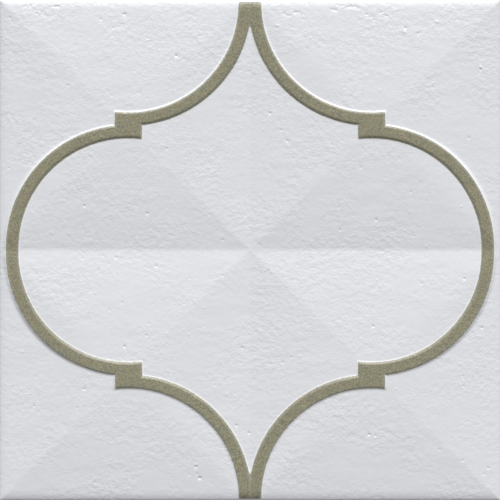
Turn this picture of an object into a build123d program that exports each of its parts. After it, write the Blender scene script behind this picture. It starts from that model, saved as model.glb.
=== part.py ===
"""Square pressed wall tile, lying on its back with its glazed face up.

The face is a two by two set of shallow pillows. Every pillow is a cloister vault: two barrel
arches that cross, so its four bowed sides meet in creases along the diagonals, and it sinks to the
same level at the tile's border and in the valleys between the pillows. The arches are slightly
pointed, so the creases stay clear up to a pillow's middle. A raised line runs over the pillows in
the outline of a lantern: two arcs to each quarter of the tile, which lie side by side in a step at
their meeting. The arris round the face is eased and then rounded, with mitred corners. The back
has a waffle of shallow pockets that keys into the adhesive.

Origin: middle of the back, on the plane that the tile rests on. +Z is out of the face, and +Y is
up when the tile is on a wall.
"""

from build123d import *
import math
import os

# The tile, in millimetres
tile_side = 200.0  # square outline
border_thickness = 5.9  # from the back to the level of the border and the valleys
pillows_across = 2  # pillows in each direction
pillow_rise = 2.4  # how far a pillow's middle stands over the border
crown_slope = 0.7  # degrees; an arch is slightly pointed, and its halves leave the crown so

# The arris round the face: a wide easing, then a small round that ends in the upright side
easing_radius = 12.0
arris_radius = 0.8
arris_tilt = 20.0  # degrees; the slope at which the easing hands over to the round
corner_radius = 0.6  # the outline's four upright corners

# The raised line
line_height = 0.7  # over the pillows
line_width = 5.2
arc_radius = 46.6  # to the middle of the line
arc_inset = 0.9  # from an arc's centre to the border, or to the tile's level middle line
arc_offset = 48.6  # from the tile's upright middle line to the arcs' centres
step_length = 11.0  # the stretch where two arcs lie side by side

# The back
pocket_side = 19.0
pocket_pitch = 24.0
pocket_depth = 0.6
pocket_corner_radius = 2.0
back_margin = 5.0  # least unbroken border round the pockets

half_side = tile_side / 2
top_level = border_thickness + pillow_rise + line_height
half_pillow = tile_side / pillows_across / 2
half_arches = 2 * pillows_across
foot_slope = 2 * math.degrees(math.atan(pillow_rise / half_pillow)) - crown_slope
foot_sine = math.sin(math.radians(foot_slope))
arch_radius = half_pillow / (foot_sine - math.sin(math.radians(crown_slope)))


def arris_start():
    """How far in from the side the easing starts, and the arch's slope there in degrees."""
    hand_over = math.sin(math.radians(arris_tilt))
    reach = easing_radius * (hand_over - foot_sine)
    reach += arris_radius * (1 - hand_over)
    reach /= 1 - easing_radius / arch_radius
    slope = math.degrees(math.asin(foot_sine - reach / arch_radius))
    return reach, slope


def arch_height(from_foot):
    """Height of an arch over the border, at a distance of up to half a pillow from its foot."""
    sine = foot_sine - from_foot / arch_radius
    return arch_radius * (math.sqrt(1 - sine**2) - math.sqrt(1 - foot_sine**2))


def arch_point(number, from_foot, level):
    """A point of the section on half an arch: even numbers rise from a foot, odd ones fall to it."""
    side = 1 if number % 2 == 0 else -1
    foot = half_pillow * (number + number % 2) - half_side
    return foot + side * from_foot, level + arch_height(from_foot)


def pillowed_block(lift):
    """What two crossing runs of the tile's section have in common, with its face lifted a little."""
    reach, slope = arris_start()
    level = border_thickness + lift
    down = (-math.cos(math.radians(slope)), -math.sin(math.radians(slope)))
    with BuildPart() as block:
        for plane, mode in (
            (Plane.XZ.offset(-half_side), Mode.ADD),
            (Plane.YZ.offset(-half_side), Mode.INTERSECT),
        ):
            with BuildSketch(plane):
                with BuildLine():
                    easing_top = (reach - half_side, level + arch_height(reach))
                    easing = JernArc(easing_top, down, easing_radius, arris_tilt - slope)
                    arris = JernArc(easing @ 1, easing % 1, arris_radius, 90 - arris_tilt)
                    Line(arris @ 1, (-half_side, 0))
                    mirror(about=Plane.YZ)
                    Line((-half_side, 0), (half_side, 0))
                    for number in range(half_arches):
                        outermost = number in (0, half_arches - 1)
                        foot = reach if outermost else 0
                        ThreePointArc(
                            arch_point(number, foot, level),
                            arch_point(number, (foot + half_pillow) / 2, level),
                            arch_point(number, half_pillow, level),
                        )
                make_face()
            extrude(amount=tile_side, mode=mode)
    return block.part


def arc_strip(centre, low, high):
    """A strip of the line's width along a circle, kept inside the window from low to high."""
    with BuildSketch() as strip:
        with Locations(centre):
            Circle(arc_radius + line_width / 2)
            Circle(arc_radius - line_width / 2, mode=Mode.SUBTRACT)
        with Locations((low + high) / 2):
            Rectangle(high.X - low.X, high.Y - low.Y, mode=Mode.INTERSECT)
    return strip.sketch


# The lantern outline, drawn for the upper left quarter and mirrored twice
border_centre = Vector(-arc_offset, half_side - arc_inset)
middle_centre = Vector(-arc_offset, arc_inset)
step_centre = (border_centre + middle_centre) / 2
half_step = Vector(step_length / 2, half_side / 2)
border_strip = arc_strip(border_centre, step_centre - half_step, Vector(0, border_centre.Y))
middle_strip = arc_strip(middle_centre, Vector(-half_side, arc_inset), step_centre + half_step)
with BuildSketch() as lantern:
    add(border_strip)
    add(middle_strip)
    with Locations(step_centre):
        Rectangle(step_length, line_width)
    with Locations((middle_centre.X - arc_radius, arc_inset / 2)):
        Rectangle(line_width, arc_inset)
    mirror(about=Plane.YZ)
    mirror(about=Plane.XZ)

# The raised line: the pillowed block lifted by the line's height, cut to the lantern's outline
lifted_block = pillowed_block(line_height)
with BuildPart() as raised_line:
    add(lantern.sketch)
    extrude(amount=top_level)
    add(lifted_block, mode=Mode.INTERSECT)

# The whole tile, as one fired piece
plain_block = pillowed_block(0)
pocket_count = int((tile_side - 2 * back_margin - pocket_side) / pocket_pitch) + 1
with BuildPart() as wall_tile:
    add(plain_block)
    add(raised_line.part)
    with BuildSketch():
        RectangleRounded(tile_side, tile_side, corner_radius)
    extrude(amount=top_level, mode=Mode.INTERSECT)
    with BuildSketch():
        with GridLocations(pocket_pitch, pocket_pitch, pocket_count, pocket_count):
            RectangleRounded(pocket_side, pocket_side, pocket_corner_radius)
    extrude(amount=pocket_depth, mode=Mode.SUBTRACT)

wall_tile.part.label = "wall_tile"
os.makedirs("parts", exist_ok=True)
export_step(wall_tile.part, "parts/wall_tile.step")
print("wall tile", wall_tile.part.bounding_box().size, "solids", len(wall_tile.part.solids()))
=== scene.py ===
"""Looks of a pressed and glazed wall tile that lies on its back, with its stage.

The tile is one mesh. Its face is a sheet of points that follow the relief: rows run along the
raised line, close-set where its walls are steep, rings lie round the pits and grains, and an
even grid fills the rest. The sheet is lifted onto the pillows, the arris, the line and the marks
in the glaze, then closed with sides and a waffle back. One material carries the white glaze, the
olive glaze on the line and the bare edge below them, and a second one the back.
"""

import math
import random

import bpy
import numpy as np
from bpy.props import FloatProperty, FloatVectorProperty, IntProperty, PointerProperty
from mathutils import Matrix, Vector, noise
from mathutils.geometry import delaunay_2d_cdt


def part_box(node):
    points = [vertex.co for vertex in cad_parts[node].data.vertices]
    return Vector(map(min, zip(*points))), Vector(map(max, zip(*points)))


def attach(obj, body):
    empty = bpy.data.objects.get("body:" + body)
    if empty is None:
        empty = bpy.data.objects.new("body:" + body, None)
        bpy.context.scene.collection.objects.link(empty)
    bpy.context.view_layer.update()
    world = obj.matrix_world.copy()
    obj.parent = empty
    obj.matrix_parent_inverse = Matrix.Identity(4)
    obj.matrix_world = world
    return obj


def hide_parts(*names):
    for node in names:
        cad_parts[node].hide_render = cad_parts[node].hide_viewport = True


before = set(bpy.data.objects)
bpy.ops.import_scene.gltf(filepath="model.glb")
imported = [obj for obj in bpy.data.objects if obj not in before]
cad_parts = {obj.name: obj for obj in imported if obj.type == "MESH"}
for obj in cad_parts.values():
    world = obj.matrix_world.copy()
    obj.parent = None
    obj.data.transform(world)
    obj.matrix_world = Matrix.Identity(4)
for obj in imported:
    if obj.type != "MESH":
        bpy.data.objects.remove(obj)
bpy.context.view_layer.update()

bl_info = {
    "name": "Lantern wall tile",
    "version": (1, 0, 0),
    "blender": (4, 5, 0),
    "location": "View3D > Sidebar > Wall tile",
    "description": "Makes a square relief wall tile in white and olive glaze, and its stage",
    "category": "Object",
}

NODE = "wall_tile"
CAD_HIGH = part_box(NODE)[1]
HALF_SIDE = CAD_HIGH.x
TOP = CAD_HIGH.z
MILLIMETRES = 1000  # in a metre


# Settings

class ReliefSizes(bpy.types.PropertyGroup):
    """The tile's pillowed face and its arris."""

    border_thickness: FloatProperty(
        name="Border thickness", description="From the back to the level of the valleys",
        default=0.0059, unit="LENGTH")
    pillow_side: FloatProperty(
        name="Pillow side", description="Side of one square pillow",
        default=HALF_SIDE, unit="LENGTH")
    pillow_rise: FloatProperty(
        name="Pillow rise", description="How far a pillow's middle stands over the valleys",
        default=0.0024, unit="LENGTH")
    crown_slope: FloatProperty(
        name="Crown slope",
        description="Slope at which the halves of the slightly pointed arches start",
        default=math.radians(0.7), unit="ROTATION")
    crease_ease: FloatProperty(
        name="Crease ease", description="Height difference over which two sides of a pillow blend",
        default=0.000015, unit="LENGTH")
    worn_ease: FloatProperty(
        name="Worn crease ease",
        description="The same for the creases that run to the ends of the valleys",
        default=0.00022, unit="LENGTH")
    valley_sink: FloatProperty(
        name="Valley sink", description="How much deeper the valleys draw in where two pillows meet",
        default=0.00014, unit="LENGTH")
    valley_reach: FloatProperty(
        name="Valley reach", description="How far from a valley it draws in",
        default=0.016, unit="LENGTH")
    easing_radius: FloatProperty(
        name="Easing radius", description="Wide bend from a pillow down to the arris",
        default=0.012, unit="LENGTH")
    arris_radius: FloatProperty(
        name="Arris radius", description="Small round between the face and the sides",
        default=0.0008, unit="LENGTH")
    arris_tilt: FloatProperty(
        name="Arris tilt", description="Slope at which the easing hands over to the round",
        default=math.radians(20), unit="ROTATION")
    edge_fall: FloatProperty(
        name="Edge fall", description="How much more the face falls off right at the arris",
        default=0.00015, unit="LENGTH")
    edge_reach: FloatProperty(
        name="Edge reach", description="How far in from the sides that fades out",
        default=0.0005, unit="LENGTH")
    corner_radius: FloatProperty(
        name="Corner radius", description="Round of the four upright corners",
        default=0.0006, unit="LENGTH")


class LineSizes(bpy.types.PropertyGroup):
    """The raised line in the outline of a lantern."""

    height: FloatProperty(
        name="Height", description="Over the pillows", default=0.0007, unit="LENGTH")
    half_width: FloatProperty(
        name="Half width", description="From the line's middle to its edge, halfway up the wall",
        default=0.0025, unit="LENGTH")
    glaze_fit: FloatProperty(
        name="Glaze fit", description="Size of the olive glaze's outline against the raised one",
        default=0.9965)
    glaze_spread: FloatProperty(
        name="Glaze spread",
        description="How much further than the line the olive glaze runs up and down",
        default=0.0002, unit="LENGTH")
    sag: FloatProperty(
        name="Sag", description="How much lower than the tile's middle the outline's middle lies",
        default=0.00009, unit="LENGTH")
    squeeze: FloatProperty(
        name="Squeeze", description="How much shorter the outline is in Y than in X, as a share",
        default=0.0012)
    shoulder: FloatProperty(
        name="Shoulder", description="How far inside the line's edge the flat top ends",
        default=0.001, unit="LENGTH")
    foot: FloatProperty(
        name="Foot", description="How far outside the line's edge the wall ends",
        default=0.00095, unit="LENGTH")
    arc_radius: FloatProperty(
        name="Arc radius", description="To the middle of the line", default=0.0466, unit="LENGTH")
    arc_inset: FloatProperty(
        name="Arc inset", description="From an arc's centre to the border or the level middle line",
        default=0.0009, unit="LENGTH")
    arc_offset: FloatProperty(
        name="Arc offset", description="From the upright middle line to the arcs' centres",
        default=0.0486, unit="LENGTH")
    step_length: FloatProperty(
        name="Step length", description="Where two arcs lie side by side",
        default=0.0108, unit="LENGTH")
    outer_fall: FloatProperty(
        name="Outer fall",
        description="How much further the outer wall falls by the tile's left and right",
        default=0.0003, unit="LENGTH")
    outer_foot: FloatProperty(
        name="Outer foot", description="How far outside the line's edge that wall ends",
        default=0.0014, unit="LENGTH")
    end_drop: FloatProperty(
        name="End drop", description="How far the line sinks towards its ends at the necks",
        default=0.00035, unit="LENGTH")
    end_run: FloatProperty(
        name="End run", description="Length over which it sinks", default=0.0021, unit="LENGTH")
    end_gap: FloatProperty(
        name="End gap", description="From the end of the line at the neck to the tile's side",
        default=0.00095, unit="LENGTH")
    neck_fill: FloatProperty(
        name="Neck fill", description="How much the narrow notch at the neck fills up",
        default=0.0015, unit="LENGTH")
    corner_ease: FloatProperty(
        name="Corner ease", description="Rounding of the step's and the end's corners",
        default=0.0008, unit="LENGTH")


class GlazeSizes(bpy.types.PropertyGroup):
    """Marks that the brush and the kiln left in the glaze."""

    brush_height: FloatProperty(
        name="Brush height", description="Height of the broad brush marks",
        default=0.00005, unit="LENGTH")
    mark_count: IntProperty(
        name="Marks", description="Pits and grains in all, those of the furrows too", default=240)
    mark_radius: FloatProperty(
        name="Mark radius", description="What the radius of each pit and grain is a share of",
        default=0.00055, unit="LENGTH")
    mark_height: FloatProperty(
        name="Mark height", description="What the height of each pit and grain is a share of",
        default=0.0002, unit="LENGTH")
    edge_level: FloatProperty(
        name="Glaze edge", description="Level on the sides where the glaze ends",
        default=0.0021, unit="LENGTH")


class BackSizes(bpy.types.PropertyGroup):
    """The waffle of shallow pockets in the back."""

    pocket_side: FloatProperty(
        name="Pocket side", description="Side of one pocket", default=0.019, unit="LENGTH")
    pocket_pitch: FloatProperty(
        name="Pocket pitch", description="From one pocket to the next", default=0.024, unit="LENGTH")
    pocket_depth: FloatProperty(
        name="Pocket depth", description="From the back to a pocket's floor",
        default=0.0006, unit="LENGTH")
    pocket_corner_radius: FloatProperty(
        name="Pocket corner radius", description="Round of a pocket's upright corners",
        default=0.002, unit="LENGTH")
    pocket_count: IntProperty(name="Pockets", description="In one row", default=8)


class Colours(bpy.types.PropertyGroup):
    """Colours of the glazes, the body and the stage."""

    white_glaze: FloatVectorProperty(
        name="White glaze", description="Brushed satin glaze", subtype="COLOR",
        default=(0.720, 0.729, 0.760))
    olive_glaze: FloatVectorProperty(
        name="Olive glaze", description="Glaze on the raised line", subtype="COLOR",
        default=(0.236, 0.229, 0.164))
    biscuit: FloatVectorProperty(
        name="Biscuit", description="Bare fired body", subtype="COLOR", default=(0.70, 0.62, 0.50))
    floor: FloatVectorProperty(
        name="Floor", description="Pale floor", subtype="COLOR", default=(0.80, 0.80, 0.80))


class WallTileSettings(bpy.types.PropertyGroup):
    """All that can be set on the tile."""

    relief: PointerProperty(type=ReliefSizes)
    line: PointerProperty(type=LineSizes)
    glaze: PointerProperty(type=GlazeSizes)
    back: PointerProperty(type=BackSizes)
    colours: PointerProperty(type=Colours)


# The relief as heights over the back

WORN_SHARE = 0.25  # of half a pillow, past its middle, from which a worn crease is worn most
CALM_BORDER = 0.004  # width of the border in which the brush marks fade out
OUTER_START = 0.062  # distance from the upright middle line where the outer drop starts
OUTER_RUN = 0.024  # and the length over which it grows
OUTER_LAP = 0.0002  # how far inside the line's edge the drop starts


def eased(share):
    """A share from 0 to 1, with both its ends eased."""
    return share**2 * (3 - 2 * share)


def arch_shape(relief):
    """Radius of half an arch, and the sine of its slope at the foot."""
    half = relief.pillow_side / 2
    foot = math.sin(2 * math.atan(relief.pillow_rise / half) - relief.crown_slope)
    return half / (foot - math.sin(relief.crown_slope)), foot


def arris_start(relief):
    """How far in from the side the easing starts, and the sine of the arch's slope there."""
    hand_over = math.sin(relief.arris_tilt)
    radius, foot = arch_shape(relief)
    reach = relief.easing_radius * (hand_over - foot)
    reach += relief.arris_radius * (1 - hand_over)
    reach /= 1 - relief.easing_radius / radius
    return reach, foot - reach / radius


def arch_level(relief, across):
    """Height of the row of arches, at distances across from the tile's middle."""
    radius, foot = arch_shape(relief)
    half = relief.pillow_side / 2
    from_foot = half - np.abs(across % relief.pillow_side - half)
    rise = radius * (np.sqrt(1 - (foot - from_foot / radius) ** 2) - math.sqrt(1 - foot**2))
    sink = relief.valley_sink * (1 - across / relief.valley_reach).clip(0) ** 2
    return relief.border_thickness + rise - sink


def easing_top(relief):
    """Height at which the easing starts."""
    reach = arris_start(relief)[0]
    return float(arch_level(relief, np.array(HALF_SIDE - reach)))


def section_level(relief, across):
    """Height of the tile's cross-section: the arches, then the easing and the round of the arris."""
    reach, slope = arris_start(relief)
    tilt = relief.arris_tilt
    inward = HALF_SIDE - across
    round_width = relief.arris_radius * (1 - math.sin(tilt))
    easing_middle = reach + relief.easing_radius * slope
    easing_base = easing_top(relief) - relief.easing_radius * math.sqrt(1 - slope**2)
    easing = easing_base + np.sqrt(relief.easing_radius**2 - (easing_middle - inward).clip(0) ** 2)
    out = (relief.arris_radius - inward).clip(0, relief.arris_radius)
    edge_round = round_base(relief) + np.sqrt(relief.arris_radius**2 - out**2)
    level = np.where(inward > reach, arch_level(relief, across), easing)
    level = np.where(inward > round_width, level, edge_round)
    return level - relief.edge_fall * np.exp(-inward / relief.edge_reach)


def round_base(relief):
    """Height of the middle of the arris's small round."""
    slope = arris_start(relief)[1]
    tilt = relief.arris_tilt
    drop = relief.easing_radius * (math.sqrt(1 - slope**2) - math.cos(tilt))
    return easing_top(relief) - drop - relief.arris_radius * math.cos(tilt)


def side_level(relief):
    """Height at which the arris meets the upright sides."""
    return round_base(relief) - relief.edge_fall


def soft_min(first, second, ease):
    """The lower of two values, with their meeting rounded over a difference of ease."""
    overlap = (ease - np.abs(first - second)).clip(0)
    return np.minimum(first, second) - overlap**2 / (4 * ease)


def soft_max(first, second, ease):
    """The higher of two values, with their meeting rounded over a difference of ease."""
    return -soft_min(-first, -second, ease)


def height_along(line, y):
    """Distance up or down from the outline's level middle line."""
    return np.abs(y * (1 + line.squeeze) + line.sag)


def past_centres(line, y):
    """How far a place lies past the centres of the border's arcs, and of the middle's."""
    return (HALF_SIDE - line.arc_inset - y).clip(0), (y - line.arc_inset).clip(0)


def arc_edge(line, x, y):
    """Signed distance out of the line's edge, at a place measured from an arc's centre."""
    return np.abs(np.hypot(x, y) - line.arc_radius) - line.half_width


def line_offset(line, x, y, fit=1.0):
    """Signed distance out of the line's edge, negative on the line, with its outline drawn to fit."""
    from_level = height_along(line, y)
    x = np.abs(x) / fit
    y = from_level / fit
    step_end = line.step_length / 2
    border_y, middle_y = past_centres(line, y)
    border_arc = arc_edge(line, x - line.arc_offset, border_y)
    other_arc = arc_edge(line, x + line.arc_offset, border_y)
    middle_arc = arc_edge(line, x - line.arc_offset, middle_y)
    border_arc = soft_max(border_arc, x - line.arc_offset - step_end, line.corner_ease)
    middle_arc = soft_max(middle_arc, line.arc_offset - step_end - x, line.corner_ease)
    neck = soft_min(border_arc, other_arc, line.neck_fill)
    half_gap = HALF_SIDE / 2 - line.arc_inset - line.arc_radius
    block_x = np.abs(x - line.arc_offset) - step_end
    block_y = np.abs(y - HALF_SIDE / 2) - half_gap
    block = soft_max(block_x, block_y, line.corner_ease)
    outline = soft_min(soft_min(neck, middle_arc, line.corner_ease / 2), block, line.corner_ease / 4)
    return soft_max(outline, from_level - (HALF_SIDE - line.end_gap), line.corner_ease)


def line_lift(line, x, y):
    """Height of the raised line: flat on top, with rounded shoulders and an eased foot."""
    share = ((line.foot - line_offset(line, x, y)) / (line.foot + line.shoulder)).clip(0, 1)
    past = np.abs(y) - (HALF_SIDE - line.end_gap - line.end_run)
    height = line.height - line.end_drop * (past / line.end_run).clip(0, 1)
    return height * share**3 * (share * (share * 6 - 15) + 10)


def outer_drop(line, x, y):
    """How much lower the face lies outside the outline, by the tile's left and right."""
    middle_y = past_centres(line, height_along(line, y))[1]
    outward = np.hypot(np.abs(x) - line.arc_offset, middle_y) - line.arc_radius - line.half_width
    share = ((outward + OUTER_LAP) / (line.outer_foot + OUTER_LAP)).clip(0, 1)
    by_side = ((np.abs(x) - OUTER_START) / OUTER_RUN).clip(0, 1)
    return line.outer_fall * eased(by_side) * eased(share)


# Marks in the glaze

# The pits and grains that stand out: place in millimetres, and shares of a mark's radius and height
KNOWN_MARKS = (
    (-29.5, 77.5, 1.1, -2.2),
    (-50.0, -38.5, 1.0, -2.0),
    (-66.0, -55.5, 0.9, -1.5),
    (-50.0, 94.0, 1.1, -2.2),
    (-54.5, 88.5, 0.8, -1.2),
    (-59.5, 92.0, 0.9, -1.4),
    (-21.5, -86.5, 0.9, -1.9),
    (-20.0, -91.0, 1.2, -2.5),
    (85.5, -11.5, 1.0, -2.0),
    (49.0, -30.5, 1.0, -1.6),
    (92.5, -31.0, 0.9, -1.4),
    (95.0, -87.0, 0.9, -1.3),
    (92.0, 73.0, 1.1, 1.6),
    (92.0, 72.0, 0.8, -1.0),
    (46.5, 94.0, 1.0, -2.2),
    (61.5, 87.0, 1.3, 1.1),
    (62.0, 88.5, 0.8, -1.1),
    (74.5, 91.0, 1.0, 1.3),
    (11.0, 89.5, 1.0, 1.2),
    (8.0, 54.5, 0.9, -1.8),
    (15.0, 43.5, 0.8, -1.4),
    (47.5, -73.5, 0.9, -1.8),
    (50.0, -74.0, 0.8, -1.4),
    (-41.0, 14.5, 0.9, -1.6),
    (-53.5, -3.0, 0.8, -1.4),
    (-66.0, 17.5, 0.8, -1.4),
    (-3.0, -39.0, 0.8, -1.5),
    (-5.5, -70.0, 0.9, -1.6),
    (-0.5, -73.0, 0.8, -1.5),
)
# The wavy furrows just below the upper arris: two ends in millimetres, and a number of grains
KNOWN_FURROWS = (
    ((-90.4, 97.0), (-87.4, 97.2), 6),
    ((-87.0, 96.6), (-82.4, 95.0), 9),
    ((-85.6, 94.2), (-81.6, 93.4), 7),
    ((-79.4, 97.1), (-76.0, 97.2), 6),
    ((13.2, 94.2), (16.4, 92.8), 6),
    ((17.6, 95.0), (22.0, 94.2), 8),
    ((32.4, 96.2), (34.8, 95.6), 5),
    ((34.8, 97.6), (40.4, 96.8), 10),
    ((40.4, 97.2), (44.0, 96.4), 7),
    ((48.2, 93.0), (49.6, 91.8), 4),
    ((50.8, 95.4), (54.8, 93.4), 8),
)
FURROW_JITTER = 0.35  # share of the step from one grain to the next
FURROW_WAVE = 0.35  # millimetres to either side
FURROW_DEPTHS = (-0.8, -0.65, -0.5, 0.3)  # shares of a mark's height
FURROW_RADII = (0.9, 1.3)  # shares of a mark's radius
# The scatter of other pits and grains
SCATTER_SEED = 41
SCATTER_REACH = 0.0965  # from the tile's middle, in X and in Y
SCATTER_RADII = (0.45, 1.0)  # shares of a mark's radius
SCATTER_DEPTHS = (-1.2, -0.84, 0.72)  # shares of a mark's height, times the share of its radius
CROWD_LEVELS = (-0.4, 0.3)  # a mark needs more of the crowds' noise than a level drawn from these
MARK_GAP = 0.0015  # least distance between two marks
LINE_GAP = 0.004  # and from a mark to the line's edge
MARK_FALL = 1.5  # how steeply a mark rounds off
# Fields of noise: sizes in X and in Y, and the level at which the noise is cut
BROAD_STROKES = (0.011, 0.0048, 0.3)
FINE_STROKES = (0.0046, 0.0024, 4.7)
CROWDS = (0.02, 0.02, 2.2)
FINE_SHARE = 0.6  # height of the fine brush marks against the broad ones


def noise_at(field, x, y):
    """A field's noise at one place."""
    return noise.noise(Vector((x / field[0], y / field[1], field[2])))


def brush_lift(glaze, x, y):
    """Broad brush marks, drawn out along X."""
    lift = np.empty(len(x))
    for number, (px, py) in enumerate(zip(x, y)):
        lift[number] = noise_at(BROAD_STROKES, px, py) + FINE_SHARE * noise_at(FINE_STROKES, px, py)
    return glaze.brush_height * lift


def known_marks(glaze, dice):
    """The pits, grains and furrows that stand out in the glaze, as (x, y, radius, height)."""
    size, height = glaze.mark_radius, glaze.mark_height
    marks = [(x / MILLIMETRES, y / MILLIMETRES, share * size, deep * height)
             for x, y, share, deep in KNOWN_MARKS]
    for start, end, count in KNOWN_FURROWS:
        for step in range(count):
            share = (step + dice.uniform(-FURROW_JITTER, FURROW_JITTER)) / (count - 1)
            x = start[0] + share * (end[0] - start[0])
            y = start[1] + share * (end[1] - start[1]) + dice.uniform(-FURROW_WAVE, FURROW_WAVE)
            deep = dice.choice(FURROW_DEPTHS)
            radius = dice.uniform(*FURROW_RADII) * size
            marks.append((x / MILLIMETRES, y / MILLIMETRES, radius, deep * height))
    return marks


def glaze_marks(glaze, line):
    """All pits and grains as (x, y, radius, height): the known ones, and crowds off the line."""
    dice = random.Random(SCATTER_SEED)
    marks = known_marks(glaze, dice)
    while len(marks) < glaze.mark_count:
        x = dice.uniform(-SCATTER_REACH, SCATTER_REACH)
        y = dice.uniform(-SCATTER_REACH, SCATTER_REACH)
        share = dice.uniform(*SCATTER_RADII)
        height = glaze.mark_height * share * dice.choice(SCATTER_DEPTHS)
        alone = noise_at(CROWDS, x, y) < dice.uniform(*CROWD_LEVELS)
        near = any(math.hypot(x - other[0], y - other[1]) < MARK_GAP for other in marks)
        from_line = abs(float(line_offset(line, np.array(x), np.array(y))))
        if not alone and not near and from_line > LINE_GAP:
            marks.append((x, y, glaze.mark_radius * share, height))
    return marks


def mark_lift(marks, x, y):
    """Heights of the pits and grains."""
    lift = np.zeros(len(x))
    for middle_x, middle_y, radius, height in marks:
        apart = ((x - middle_x) ** 2 + (y - middle_y) ** 2) / radius**2
        lift += height * np.exp(-MARK_FALL * apart)
    return lift


def face_level(settings, marks, x, y):
    """Height of the finished face over the back."""
    relief = settings.relief
    half = relief.pillow_side / 2
    worn = -(np.abs(x) - half) * (np.abs(y) - half) / (WORN_SHARE * half) ** 2
    ease = relief.crease_ease + (relief.worn_ease - relief.crease_ease) * worn.clip(0, 1)
    pillows = soft_min(section_level(relief, np.abs(x)), section_level(relief, np.abs(y)), ease)
    inward = HALF_SIDE - np.maximum(np.abs(x), np.abs(y))
    calm = (inward / CALM_BORDER).clip(0, 1)
    lift = line_lift(settings.line, x, y) - outer_drop(settings.line, x, y)
    lift += calm * brush_lift(settings.glaze, x, y) + mark_lift(marks, x, y)
    return np.minimum(pillows + lift, TOP)


# The face's points

GRID_STEPS = 108  # cells of the even grid from the middle to the side
GRID_END = 0.8  # the even grid ends this share of the arris's width from the side
ROUND_ANGLES = (90, 76, 62, 48, 34)  # degrees; slopes at the rows on the arris's small round
EASING_ROWS = (0, 0.18, 0.4, 0.65)  # places of the rows on the easing, as shares of its bend
ROUND_ROWS = 0.7  # share of the round's radius in which only its own rows lie
CREASE_SIDE = 0.00018  # how far the points beside a crisp crease lie from it, in X and in Y
CREASE_END = 0.0015  # how far from the tile's sides they end
ROW_PITCH = 0.001  # along the raised line
ROW_END = 0.8  # share of the round's radius at which the rows along the line end
WALL_ROWS = 9  # rows on each wall of the line
TOP_ROWS = (0.4, 0.8)  # rows on each half of its flat top, as shares of that half's width
PAST_WALL = 0.0004  # from a wall's foot to the next row
BAND = 0.0042  # half width of the band that the rows along the line fill
BAND_GAP = 0.0005  # least distance from that band to the grid's points
PATCH_PITCH = 0.00026  # where the line's corners are
STEP_PATCH = (0.0078, 0.0072)  # half size of the fine patch round each step
NECK_PATCH = (0.0066, 0.0160)  # half width and length of the fine patch at each neck
PATCH_GAPS = (0.00012, 0.0003)  # from a patch to the line's rows, and to the points by a crease
ARRIS_GAP = 0.0001  # least distance from the neck's patch to the round's rows
MARK_RINGS = ((0.45, 6), (0.95, 9), (1.5, 12))  # shares of a mark's radius, and numbers of points
MARK_CLEAR = 1.9  # share of a mark's radius within which only its rings' points lie
SAME_SPOT = 2e-6  # points closer together than this are one


def border_stations(relief):
    """Positions of the grid's rows in the arris, in from the side."""
    slope = arris_start(relief)[1]
    tilt = math.sin(relief.arris_tilt)
    round_width = relief.arris_radius * (1 - tilt)
    rounds = [relief.arris_radius * (1 - math.sin(math.radians(angle))) for angle in ROUND_ANGLES]
    easing = [round_width + relief.easing_radius * share * (tilt - slope) for share in EASING_ROWS]
    return [HALF_SIDE - inward for inward in rounds + easing]


def grid_stations(relief):
    """Positions of the grid's rows from the middle to the side."""
    end = HALF_SIDE - GRID_END * arris_start(relief)[0]
    pitch = HALF_SIDE / GRID_STEPS
    inner = [step * pitch for step in range(GRID_STEPS) if step * pitch < end]
    return np.array(inner + border_stations(relief)[::-1])


def mesh_of_stations(first, second):
    """Every pairing of two rows of positions, as points."""
    x, y = np.meshgrid(first, second)
    return np.column_stack((x.ravel(), y.ravel()))


def in_patches(line, points, margin):
    """Which points of the upper right quarter lie in the fine patches."""
    x, y = points[:, 0], points[:, 1]
    by_step = np.abs(x - line.arc_offset) < STEP_PATCH[0] + margin
    by_step &= np.abs(y - HALF_SIDE / 2) < STEP_PATCH[1] + margin
    by_neck = (x < NECK_PATCH[0] + margin) & (y > HALF_SIDE - NECK_PATCH[1] - margin)
    return by_step | by_neck


def centre_distance(line, points):
    """Distance from the middle of the line's two arcs, in the upper right quarter."""
    x, y = points[:, 0], points[:, 1]
    border_y, middle_y = past_centres(line, y)
    level_y = np.where(x > line.arc_offset, middle_y, border_y)
    return np.abs(np.hypot(x - line.arc_offset, level_y) - line.arc_radius)


def line_rows(line):
    """Distances of the rows from the middle of the line, close-set on its walls."""
    wall_in = line.half_width - line.shoulder
    wall_out = line.half_width + line.foot
    top = [share * wall_in for share in TOP_ROWS]
    wall = np.linspace(wall_in, wall_out, WALL_ROWS)
    outer = [*top, *wall, wall_out + PAST_WALL, BAND]
    return [-distance for distance in reversed(outer)] + [0.0] + outer


def arc_points(line, relief):
    """Points along the two arcs of the upper right quarter, and the edges along each row."""
    turn = ROW_PITCH / line.arc_radius
    steps = int(math.pi / 2 / turn) + 1
    end = HALF_SIDE - ROW_END * relief.arris_radius
    points = []
    edges = []
    # Both arcs run to the step: the border's from beside its centre, the other from the middle line
    for centre_y, way, first in ((HALF_SIDE - line.arc_inset, -1, 0), (line.arc_inset, 1, -1)):
        for distance in line_rows(line):
            last = None
            for step in range(first, steps + 1):
                angle = math.pi / 2 * max(step, 0) / steps
                radius = line.arc_radius + distance
                x = line.arc_offset + way * radius * math.cos(angle)
                y = centre_y + way * radius * math.sin(angle) if step >= 0 else 0.0
                spot = np.array([[x, y]])
                inside = 0 <= x < end and 0 <= y < HALF_SIDE
                if not inside or in_patches(line, spot, PATCH_GAPS[0])[0]:
                    last = None
                    continue
                points.append((x, y))
                if last is not None:
                    edges.append((last, len(points) - 1))
                last = len(points) - 1
    return points, edges


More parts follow.
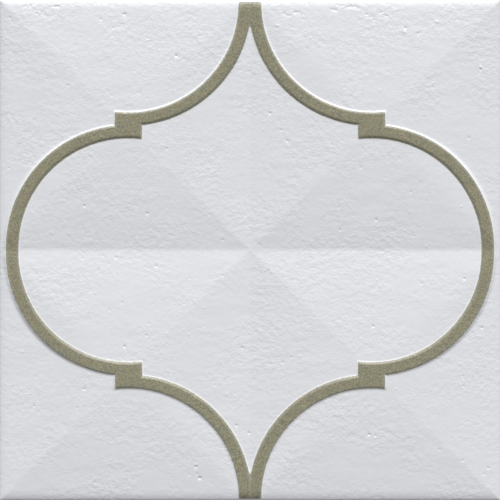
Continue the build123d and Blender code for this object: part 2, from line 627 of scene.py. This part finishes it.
def quarter_points(line, relief):
    """Points of the face's upper right quarter, and the edges along the line's rows."""
    stations = grid_stations(relief)
    grid = mesh_of_stations(stations, stations)
    round_start = HALF_SIDE - ROUND_ROWS * relief.arris_radius
    by_line = (centre_distance(line, grid) < BAND + BAND_GAP) & (grid.max(axis=1) <= round_start)
    keep = ~by_line & ~in_patches(line, grid, 0)
    step_x = np.arange(-STEP_PATCH[0], STEP_PATCH[0], PATCH_PITCH) + line.arc_offset
    step_y = np.arange(-STEP_PATCH[1], STEP_PATCH[1], PATCH_PITCH) + HALF_SIDE / 2
    neck_x = np.arange(0, NECK_PATCH[0], PATCH_PITCH)
    arris = [y for y in border_stations(relief) if y > round_start]
    neck_y = np.arange(HALF_SIDE - NECK_PATCH[1], min(arris) - ARRIS_GAP, PATCH_PITCH)
    neck_y = np.append(neck_y, arris)
    rows, edges = arc_points(line, relief)
    number = np.cumsum(keep) - 1 + len(rows)
    for first, second in crease_cells(stations):
        if keep[first] and keep[second]:
            edges.append((int(number[first]), int(number[second])))
    beside = crease_sides(stations)
    off_line = centre_distance(line, beside) > BAND + BAND_GAP
    beside = beside[off_line & ~in_patches(line, beside, PATCH_GAPS[1])]
    points = np.concatenate((np.array(rows), grid[keep], mesh_of_stations(step_x, step_y),
                             mesh_of_stations(neck_x, neck_y), beside))
    return points, edges


def crease_sides(stations):
    """Points close by the crisp crease from the tile's middle to its corner."""
    inner = stations[stations < HALF_SIDE - CREASE_END]
    middles = (inner[1:] + inner[:-1]) / 2
    return np.concatenate([np.column_stack((middles + side, middles - side))
                           for side in (-CREASE_SIDE, CREASE_SIDE)])


def crease_cells(stations):
    """Pairs of grid points that lie next to each other on a pillow's creases."""
    count = len(stations)
    pairs = []
    for step in range(count - 1):
        pairs.append((step * count + step, (step + 1) * count + step + 1))
        across = GRID_STEPS - step
        if 0 < across < count:
            pairs.append((across * count + step, (across - 1) * count + step + 1))
    return pairs


def ring_points(mark):
    """Points that give a pit or grain its shape."""
    x, y, radius, height = mark
    points = [(x, y)]
    for share, count in MARK_RINGS:
        for step in range(count):
            angle = math.tau * (step + share) / count
            points.append((x + share * radius * math.cos(angle), y + share * radius * math.sin(angle)))
    return points


def face_points(settings, marks):
    """All points of the face, seen from above, and the edges that its triangles have to keep."""
    quarter, edges = quarter_points(settings.line, settings.relief)
    points = np.concatenate([quarter * sides for sides in ((1, 1), (-1, 1), (-1, -1), (1, -1))])
    starts = [part * len(quarter) for part in range(4)]
    edges = [(start + a, start + b) for start in starts for a, b in edges]
    keep = np.ones(len(points), bool)
    rings = []
    for mark in marks:
        apart = np.hypot(points[:, 0] - mark[0], points[:, 1] - mark[1])
        keep &= apart > MARK_CLEAR * mark[2]
        rings += ring_points(mark)
    number = np.cumsum(keep) - 1
    edges = [(int(number[a]), int(number[b])) for a, b in edges if keep[a] and keep[b]]
    return np.concatenate((points[keep], rings)), edges


def rounded_outline(relief, x, y):
    """The square's points with its upright corners rounded."""
    start = HALF_SIDE - relief.corner_radius
    past_x = (np.abs(x) - start).clip(0)
    past_y = (np.abs(y) - start).clip(0)
    reach = np.hypot(past_x, past_y)
    pull = np.where(reach > 0, np.maximum(past_x, past_y) / np.maximum(reach, 1e-9), 1)
    corner = (past_x > 0) & (past_y > 0)
    new_x = np.where(corner, np.sign(x) * (start + past_x * pull), x)
    new_y = np.where(corner, np.sign(y) * (start + past_y * pull), y)
    return new_x, new_y


# The tile

SIDE_ROWS = (0.75, 0.5, 0.25)  # shares of the sides' height
BACK_EDGE = (0.0003, 0.0004)  # width and height of the small slope between the sides and the back
ON_FACE = 0.9  # share of the sides' height from which a point is the face's
OFF_FACE = 10  # millimetres; what points below have as their distance from the line
BACK_LEVEL = 0.0007  # faces whose middle lies lower are the back's
SMOOTH_ANGLE = math.radians(35)


def only(thing):
    """Makes one object the selected and active one."""
    bpy.ops.object.select_all(action="DESELECT")
    thing.select_set(True)
    bpy.context.view_layer.objects.active = thing


def press_face(settings):
    """The face as an open sheet of triangles."""
    marks = glaze_marks(settings.glaze, settings.line)
    points, edges = face_points(settings, marks)
    flat = delaunay_2d_cdt([Vector(point) for point in points], edges, [], 0, SAME_SPOT, False)
    spots = np.array([(spot.x, spot.y) for spot in flat[0]])
    x, y = rounded_outline(settings.relief, spots[:, 0], spots[:, 1])
    level = face_level(settings, marks, x, y)
    mesh = bpy.data.meshes.new(NODE + "_face")
    mesh.from_pydata(np.column_stack((x, y, level)).tolist(), [], flat[2])
    tile = bpy.data.objects.new("pressed_tile", mesh)
    bpy.context.collection.objects.link(tile)
    return tile


def close_body(tile, relief):
    """Draws the sheet's border down to the back and closes it there."""
    only(tile)
    top = start = side_level(relief)
    rows = [(share * top, 0) for share in SIDE_ROWS] + [(BACK_EDGE[1], 0), (0, BACK_EDGE[0])]
    bpy.ops.object.mode_set(mode="EDIT")
    bpy.ops.mesh.select_mode(type="EDGE")
    bpy.ops.mesh.select_all(action="DESELECT")
    bpy.ops.mesh.select_non_manifold(extend=False, use_wire=False, use_multi_face=False,
                                     use_non_contiguous=False, use_verts=False)
    for level, inset in rows:
        bpy.ops.mesh.extrude_region_move(TRANSFORM_OT_translate={"value": (0, 0, level - start)})
        scale = 1 - inset / HALF_SIDE
        bpy.ops.transform.resize(value=(scale, scale, 0), center_override=(0, 0, level))
        start = level
    bpy.ops.mesh.edge_face_add()
    bpy.ops.mesh.select_all(action="SELECT")
    bpy.ops.mesh.normals_make_consistent(inside=False)
    bpy.ops.object.mode_set(mode="OBJECT")


def apply_modifier(thing, kind, **values):
    """Adds a modifier with its values and applies it."""
    only(thing)
    modifier = thing.modifiers.new(kind.title(), kind)
    for name, value in values.items():
        setattr(modifier, name, value)
    bpy.ops.object.modifier_apply(modifier=modifier.name)


def cut_pockets(tile, back):
    """Cuts the waffle of pockets into the back."""
    pitch = back.pocket_pitch
    first = -(back.pocket_count - 1) / 2 * pitch
    bpy.ops.object.select_all(action="DESELECT")
    bpy.ops.mesh.primitive_cube_add(
        size=1, location=(first, first, 0),
        scale=(back.pocket_side, back.pocket_side, 2 * back.pocket_depth))
    cutter = bpy.context.object
    bpy.ops.object.transform_apply(location=True, rotation=True, scale=True)
    bpy.ops.object.mode_set(mode="EDIT")
    bpy.ops.mesh.select_mode(type="EDGE")
    bpy.ops.mesh.select_all(action="DESELECT")
    bpy.ops.object.mode_set(mode="OBJECT")
    for edge in cutter.data.edges:
        low, high = (cutter.data.vertices[index].co for index in edge.vertices)
        edge.select = abs(low.z - high.z) > back.pocket_depth
    bpy.ops.object.mode_set(mode="EDIT")
    bpy.ops.mesh.bevel(offset=back.pocket_corner_radius, segments=5, affect="EDGES")
    bpy.ops.object.mode_set(mode="OBJECT")
    for step in ((pitch, 0, 0), (0, pitch, 0)):
        apply_modifier(cutter, "ARRAY", count=back.pocket_count, use_relative_offset=False,
                       use_constant_offset=True, constant_offset_displace=step)
    apply_modifier(tile, "BOOLEAN", operation="DIFFERENCE", solver="EXACT", object=cutter)
    bpy.data.objects.remove(cutter)


def store_offset(tile, settings):
    """Keeps each point's distance out of the olive glaze's edge, in millimetres, for the glaze."""
    mesh = tile.data
    spots = np.empty(len(mesh.vertices) * 3)
    mesh.vertices.foreach_get("co", spots)
    spots = spots.reshape(-1, 3)
    line = settings.line
    x, y = spots[:, 0], spots[:, 1]
    offset = np.minimum(line_offset(line, x, y - line.glaze_spread, line.glaze_fit),
                        line_offset(line, x, y + line.glaze_spread, line.glaze_fit))
    on_face = spots[:, 2] > ON_FACE * side_level(settings.relief)
    offset = np.where(on_face, MILLIMETRES * offset, OFF_FACE)
    layer = mesh.attributes.new("line_offset", "FLOAT", "POINT")
    layer.data.foreach_set("value", offset.astype(np.float32))


# Materials

# Sizes of the patterns in the glazes and in the clay, in metres
GLAZE_GRAIN = 0.0011
CLAY_GRAIN = 0.0009
CLAY_STAINS = 0.03
WHITE_CLOUDS = (0.016, 0.006, 0.01)
WHITE_SPECKS = 0.0009
OLIVE_FLECKS = 0.0006
OLIVE_PATCHES = 0.0022
RAGGED_EDGE = 0.0012
WAVY_EDGE = 0.011
BRUSH_DABS = (0.0022, 0.0021, 0.0022)
BRUSH_PRESSURE = (0.017, 0.012, 0.015)
# Where the glazes change, in millimetres out of the olive glaze's edge
OLIVE_THINNING = (-1.1, -0.1)
OLIVE_EDGE = (0.12, -0.12)
# Paler band just outside the olive: partly the white glaze's own paler rim, partly a painted highlight
# standing in for the glaze's sheen on the line's walls
RIM_HIGHLIGHT_START = (0.02, 0.15)
RIM_HIGHLIGHT_END = (0.7, 0.4)
# Heights and places, in metres
WAVE_HEIGHT = 0.0016  # of the white glaze's lower edge, from the lowest to the highest place
EDGE_BLUR = 0.00012  # over which that edge fades, up and down
BUSY_BORDER = (0.066, 0.092)  # Y between which the brush marks grow stronger towards the top
BRUSH_BUMP = 0.00024
CLAY_BUMP = 0.00008


def new_material(name):
    """An empty node material with its shader and output."""
    material = bpy.data.materials.new(name)
    material.use_nodes = True
    tree = material.node_tree
    tree.nodes.clear()
    shader = tree.nodes.new("ShaderNodeBsdfPrincipled")
    output = tree.nodes.new("ShaderNodeOutputMaterial")
    tree.links.new(shader.outputs[0], output.inputs[0])
    return material, tree, shader


def add_node(tree, kind, settings=None, **inputs):
    """A node with its settings, and its inputs set to values or linked to sockets."""
    node = tree.nodes.new(kind)
    for name, value in (settings or {}).items():
        setattr(node, name, value)
    for name, value in inputs.items():
        key = int(name[1:]) if name[1:].isdigit() else name.replace("_", " ")
        if isinstance(value, bpy.types.NodeSocket):
            tree.links.new(value, node.inputs[key])
        else:
            node.inputs[key].default_value = value
    return node


def maths(tree, operation, first, second=0.0, third=0.0, clamp=False):
    """The result of one sum of up to three values or sockets."""
    node = add_node(tree, "ShaderNodeMath", {"operation": operation, "use_clamp": clamp},
                    _0=first, _1=second, _2=third)
    return node.outputs[0]


def pattern(tree, place, sizes, detail=2.0, roughness=0.5):
    """Noise over the tile whose features have one size, or three sizes in X, Y and Z."""
    sizes = sizes if isinstance(sizes, tuple) else 3 * (sizes,)
    mapping = add_node(tree, "ShaderNodeMapping", Vector=place, Scale=[1 / size for size in sizes])
    node = add_node(tree, "ShaderNodeTexNoise", Vector=mapping.outputs[0], Scale=1.0,
                    Detail=detail, Roughness=roughness)
    return node.outputs["Fac"]


def shade_of(colour, *shares):
    """A colour whose parts are multiplied by one share, or by a share each."""
    shares = shares if len(shares) == 3 else 3 * shares
    return [min(1, share * part) for share, part in zip(shares, colour)] + [1]


def blend(tree, share, first, second):
    """Two colours mixed by a share."""
    node = add_node(tree, "ShaderNodeMix", {"data_type": "RGBA"})
    for index, value in ((0, share), (6, first), (7, second)):
        if isinstance(value, bpy.types.NodeSocket):
            tree.links.new(value, node.inputs[index])
        else:
            node.inputs[index].default_value = value
    return node.outputs[2]


def ramp(tree, share, low, high):
    """A share that rises from 0 at low to 1 at high."""
    node = add_node(tree, "ShaderNodeMapRange", {"interpolation_type": "SMOOTHSTEP"},
                    Value=share, From_Min=low, From_Max=high)
    return node.outputs[0]


def new_group(name, inputs, outputs):
    """An empty node group with named inputs and outputs."""
    group = bpy.data.node_groups.new(name, "ShaderNodeTree")
    for title, kind in inputs:
        group.interface.new_socket(title, in_out="INPUT", socket_type=kind)
    for title, kind in outputs:
        group.interface.new_socket(title, in_out="OUTPUT", socket_type=kind)
    return group, group.nodes.new("NodeGroupInput"), group.nodes.new("NodeGroupOutput")


def fired_grain_group():
    """Grain of fired clay and glaze: a mottled tone, and a height for bumps."""
    group, start, end = new_group(
        "fired_grain", [("Size", "NodeSocketFloat")],
        [("Tone", "NodeSocketFloat"), ("Height", "NodeSocketFloat")])
    place = add_node(group, "ShaderNodeTexCoord").outputs["Object"]
    scale = maths(group, "DIVIDE", 1.0, start.outputs["Size"])
    tone = add_node(group, "ShaderNodeTexNoise", Vector=place, Scale=scale, Detail=3.0, Roughness=0.6)
    finer = maths(group, "MULTIPLY", scale, 2.3)
    height = add_node(group, "ShaderNodeTexNoise", Vector=place, Scale=finer, Detail=2.0, Roughness=0.6)
    group.links.new(tone.outputs["Fac"], end.inputs["Tone"])
    group.links.new(height.outputs["Fac"], end.inputs["Height"])
    return group


def grain(tree, group, size):
    """The fired grain at one size, as its tone and its height."""
    node = tree.nodes.new("ShaderNodeGroup")
    node.node_tree = group
    node.inputs["Size"].default_value = size
    return node.outputs["Tone"], node.outputs["Height"]


def white_glaze(tree, place, glaze):
    """White glaze, a little duller in clouds along the brush marks and in small specks."""
    dusky = shade_of(glaze, 0.97)
    clouds = ramp(tree, pattern(tree, place, WHITE_CLOUDS), 0.3, 0.75)
    specks = ramp(tree, pattern(tree, place, WHITE_SPECKS, detail=1.0), 0.3, 0.7)
    cloudy = blend(tree, clouds, shade_of(glaze, 1), dusky)
    return blend(tree, maths(tree, "MULTIPLY", specks, 0.7), cloudy, dusky)


def olive_glaze(tree, place, glaze):
    """Olive glaze, mottled by fine flecks and broader patches, some of them browner."""
    deep = shade_of(glaze, 0.74, 0.74, 0.78)
    bright = shade_of(glaze, 1.40, 1.38, 1.20)
    brown = shade_of(glaze, 1.07, 0.92, 0.83)
    flecks = pattern(tree, place, OLIVE_FLECKS, detail=1.0, roughness=0.6)
    patches = pattern(tree, place, OLIVE_PATCHES, detail=1.0)
    mottle = maths(tree, "MULTIPLY_ADD", patches, 0.2, flecks)
    mottled = blend(tree, ramp(tree, mottle, 0.36, 0.86), deep, bright)
    rusty = maths(tree, "MULTIPLY", ramp(tree, patches, 0.5, 0.7), 0.5)
    return blend(tree, rusty, mottled, brown)


def bare_body(tree, tone, body):
    """The fired body, mottled by its paler grains."""
    return blend(tree, tone, shade_of(body, 1), shade_of(body, 1.12))


def olive_cover(tree, place):
    """How far the olive glaze covers the white one, and the paler band just outside it, which is partly
    the white glaze's own paler rim and partly a painted highlight for the sheen on the line's walls.
    """
    offset = add_node(tree, "ShaderNodeAttribute", {"attribute_name": "line_offset"}).outputs["Fac"]
    ragged = maths(tree, "MULTIPLY_ADD", pattern(tree, place, RAGGED_EDGE), 0.3, -0.15)
    edge = maths(tree, "ADD", offset, ragged)
    thin = maths(tree, "MULTIPLY", ramp(tree, edge, *OLIVE_THINNING), 0.14)
    full = maths(tree, "SUBTRACT", 1.0, thin)
    cover = maths(tree, "MULTIPLY", ramp(tree, edge, *OLIVE_EDGE), full)
    # Painted highlight, partly a real paler rim: a band of paler white just outside the olive's edge
    rim_and_highlight = maths(tree, "MULTIPLY", ramp(tree, edge, *RIM_HIGHLIGHT_START), ramp(tree, edge, *RIM_HIGHLIGHT_END))
    return cover, rim_and_highlight


def bare_part(tree, place, level, edge_level):
    """Where the sides are bare, below the glaze's wavy lower edge."""
    waves = pattern(tree, place, WAVY_EDGE)
    wavy = maths(tree, "MULTIPLY_ADD", waves, WAVE_HEIGHT, -WAVE_HEIGHT / 2)
    height = maths(tree, "ADD", level, wavy)
    return ramp(tree, height, edge_level + EDGE_BLUR, edge_level - EDGE_BLUR)


def brushed_normal(tree, place, upwards, fine):
    """Dabs of the brush and fine grain, stronger in places and towards the tile's top."""
    dabs = pattern(tree, place, BRUSH_DABS, roughness=0.58)
    pressure = ramp(tree, pattern(tree, place, BRUSH_PRESSURE, detail=1.0), 0.3, 0.7)
    vigour = maths(tree, "ADD", pressure, 0.3)
    vigour = maths(tree, "MULTIPLY_ADD", ramp(tree, upwards, *BUSY_BORDER), 0.3, vigour)
    strokes = maths(tree, "MULTIPLY", maths(tree, "SUBTRACT", dabs, 0.5), vigour)
    height = maths(tree, "MULTIPLY_ADD", fine, 0.05, strokes)
    bump = add_node(tree, "ShaderNodeBump", Strength=1.0, Distance=BRUSH_BUMP, Height=height)
    return bump.outputs[0]


def glaze_material(settings, grain_group):
    """White glaze with a paler band beside the olive that is partly a painted highlight, olive glaze on
    the line, and bare biscuit low on the sides.
    """
    material, tree, shader = new_material("brushed_glazes")
    colours = settings.colours
    place = add_node(tree, "ShaderNodeTexCoord").outputs["Object"]
    parts = add_node(tree, "ShaderNodeSeparateXYZ", Vector=place).outputs
    tone, fine = grain(tree, grain_group, GLAZE_GRAIN)
    clay_tone = grain(tree, grain_group, CLAY_GRAIN)[0]
    cover, rim_and_highlight = olive_cover(tree, place)
    bare = bare_part(tree, place, parts["Z"], settings.glaze.edge_level)
    white = white_glaze(tree, place, colours.white_glaze)
    # Paler white in that band: partly the glaze's own rim, partly a painted highlight
    colour = blend(tree, rim_and_highlight, white, shade_of(colours.white_glaze, 1.07, 1.06, 1.02))
    colour = blend(tree, cover, colour, olive_glaze(tree, place, colours.olive_glaze))
    colour = blend(tree, bare, colour, bare_body(tree, clay_tone, colours.biscuit))
    tree.links.new(colour, shader.inputs["Base Color"])
    satin = maths(tree, "MULTIPLY_ADD", tone, 0.16, 0.40)
    rough = maths(tree, "MULTIPLY_ADD", cover, 0.06, satin)
    rough = maths(tree, "MULTIPLY_ADD", bare, 0.4, rough, clamp=True)
    tree.links.new(rough, shader.inputs["Roughness"])
    tree.links.new(brushed_normal(tree, place, parts["Y"], fine), shader.inputs["Normal"])
    return material


def biscuit_material(settings, grain_group):
    """The bare fired body of the back."""
    material, tree, shader = new_material("bare_biscuit")
    biscuit = settings.colours.biscuit
    tone, fine = grain(tree, grain_group, CLAY_GRAIN)
    place = add_node(tree, "ShaderNodeTexCoord").outputs["Object"]
    stains = ramp(tree, pattern(tree, place, CLAY_STAINS), 0.45, 0.8)
    colour = blend(tree, stains, bare_body(tree, tone, biscuit), shade_of(biscuit, 0.93))
    tree.links.new(colour, shader.inputs["Base Color"])
    rough = maths(tree, "MULTIPLY_ADD", tone, 0.1, 0.82)
    tree.links.new(rough, shader.inputs["Roughness"])
    bump = add_node(tree, "ShaderNodeBump", Strength=1.0, Distance=CLAY_BUMP, Height=fine)
    tree.links.new(bump.outputs[0], shader.inputs["Normal"])
    return material


def assign_materials(tile, settings):
    """Gives the face and sides the glazes, and the back the biscuit."""
    group = fired_grain_group()
    tile.data.materials.append(glaze_material(settings, group))
    tile.data.materials.append(biscuit_material(settings, group))
    for face in tile.data.polygons:
        face.material_index = 1 if face.center.z < BACK_LEVEL else 0


# The stage

FLOOR_REACH = 3.0  # half the floor's side
FLOOR_LAP = 0.0006  # how far the floor reaches under the tile; further in it is open
FLOOR_GAP = 0.00002  # keeps the floor out of the plane of the tile's back
CAMERA_DISTANCE = 2.0
CAMERA_CROP = 0.0002  # how much of the tile's sides falls outside the image
SENSOR = 36.0  # millimetres
KEY_ELEVATION = math.radians(35)
KEY_AZIMUTH = math.radians(6)  # from the tile's top towards its right
KEY_WIDTH = math.radians(8)  # how wide the light's source looks
KEY_STRENGTH = 3.81
FILL_STRENGTH = 0.303
BACKGROUND_STRENGTH = 0.9


def floor_material(colour):
    """A plain pale floor, clear from below so that the tile's back can be seen."""
    material, tree, shader = new_material("pale_floor")
    shader.inputs["Base Color"].default_value = (*colour, 1)
    shader.inputs["Roughness"].default_value = 0.9
    below = tree.nodes.new("ShaderNodeNewGeometry").outputs["Backfacing"]
    clear = maths(tree, "SUBTRACT", 1.0, below)
    tree.links.new(clear, shader.inputs["Alpha"])
    return material


def soft_world(scene):
    """Even light from all round, which shows as a pale background."""
    world = bpy.data.worlds.new("soft_studio")
    scene.world = world
    world.use_nodes = True
    tree = world.node_tree
    tree.nodes.clear()
    rays = tree.nodes.new("ShaderNodeLightPath")
    more = BACKGROUND_STRENGTH - FILL_STRENGTH
    strength = maths(tree, "MULTIPLY_ADD", rays.outputs["Is Camera Ray"], more, FILL_STRENGTH)
    light = add_node(tree, "ShaderNodeBackground", Color=(1, 1, 1, 1), Strength=strength)
    output = tree.nodes.new("ShaderNodeOutputWorld")
    tree.links.new(light.outputs[0], output.inputs[0])


def make_floor(colour):
    """A wide floor that the tile lies on, open under it."""
    bpy.ops.object.select_all(action="DESELECT")
    bpy.ops.mesh.primitive_plane_add(size=2 * FLOOR_REACH, location=(0, 0, -FLOOR_GAP))
    floor = bpy.context.object
    bpy.ops.object.mode_set(mode="EDIT")
    bpy.ops.mesh.inset(thickness=FLOOR_REACH - HALF_SIDE + FLOOR_LAP)
    bpy.ops.mesh.delete(type="FACE")
    bpy.ops.object.mode_set(mode="OBJECT")
    floor.name = "floor"
    floor.data.materials.append(floor_material(colour))
    return floor


def add_key_light():
    """The sun, low beyond the tile's top."""
    level = math.cos(KEY_ELEVATION)
    towards = Vector((math.sin(KEY_AZIMUTH) * level, math.cos(KEY_AZIMUTH) * level,
                      math.sin(KEY_ELEVATION)))
    bpy.ops.object.light_add(type="SUN", location=towards)
    key = bpy.context.object
    key.name = "key_light"
    key.data.energy = KEY_STRENGTH
    key.data.angle = KEY_WIDTH
    key.rotation_euler = towards.to_track_quat("Z", "Y").to_euler()


def add_camera(scene):
    """The camera, straight above, with the tile's sides on the image's border."""
    bpy.ops.object.camera_add(location=(0, 0, CAMERA_DISTANCE), rotation=(0, 0, 0))
    camera = bpy.context.object
    widest = side_level(scene.wall_tile.relief)
    seen = 2 * (HALF_SIDE - CAMERA_CROP)
    camera.data.sensor_width = SENSOR
    camera.data.lens = SENSOR * (CAMERA_DISTANCE - widest) / seen
    scene.camera = camera


# Operators and panel

class WALLTILE_OT_tile(bpy.types.Operator):
    """Make the pressed and glazed tile"""

    bl_idname = "walltile.tile"
    bl_label = "Make the tile"

    def execute(self, context):
        settings = context.scene.wall_tile
        tile = press_face(settings)
        close_body(tile, settings.relief)
        cut_pockets(tile, settings.back)
        store_offset(tile, settings)
        assign_materials(tile, settings)
        only(tile)
        bpy.ops.object.shade_smooth_by_angle(angle=SMOOTH_ANGLE)
        if tile.data.validate():
            raise RuntimeError("the tile's mesh isn't sound")
        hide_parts(NODE)
        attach(tile, "root")
        return {"FINISHED"}


class WALLTILE_OT_stage(bpy.types.Operator):
    """Make the floor, the light and the camera"""

    bl_idname = "walltile.stage"
    bl_label = "Make the stage"

    def execute(self, context):
        scene = context.scene
        floor = make_floor(scene.wall_tile.colours.floor)
        soft_world(scene)
        add_key_light()
        add_camera(scene)
        scene.view_settings.view_transform = "Standard"
        return {"FINISHED"}


class WALLTILE_PT_panel(bpy.types.Panel):
    """Lists what the tile and its stage are made with"""

    bl_idname = "WALLTILE_PT_panel"
    bl_label = "Wall tile"
    bl_space_type = "VIEW_3D"
    bl_region_type = "UI"
    bl_category = "Wall tile"

    def draw(self, context):
        settings = context.scene.wall_tile
        self.layout.operator(WALLTILE_OT_tile.bl_idname)
        self.layout.operator(WALLTILE_OT_stage.bl_idname)
        for title in ("relief", "line", "glaze", "back", "colours"):
            box = self.layout.box()
            box.label(text=title.title())
            group = getattr(settings, title)
            for name in group.__annotations__:
                box.prop(group, name)


CLASSES = (ReliefSizes, LineSizes, GlazeSizes, BackSizes, Colours, WallTileSettings,
           WALLTILE_OT_tile, WALLTILE_OT_stage, WALLTILE_PT_panel)


def register():
    for item in CLASSES:
        bpy.utils.register_class(item)
    bpy.types.Scene.wall_tile = PointerProperty(type=WallTileSettings)


def unregister():
    del bpy.types.Scene.wall_tile
    for item in reversed(CLASSES):
        bpy.utils.unregister_class(item)


def main():
    """Makes the tile and its stage."""
    register()
    bpy.ops.walltile.tile()
    bpy.ops.walltile.stage()
    bpy.context.view_layer.update()


if __name__ == "__main__":
    main()
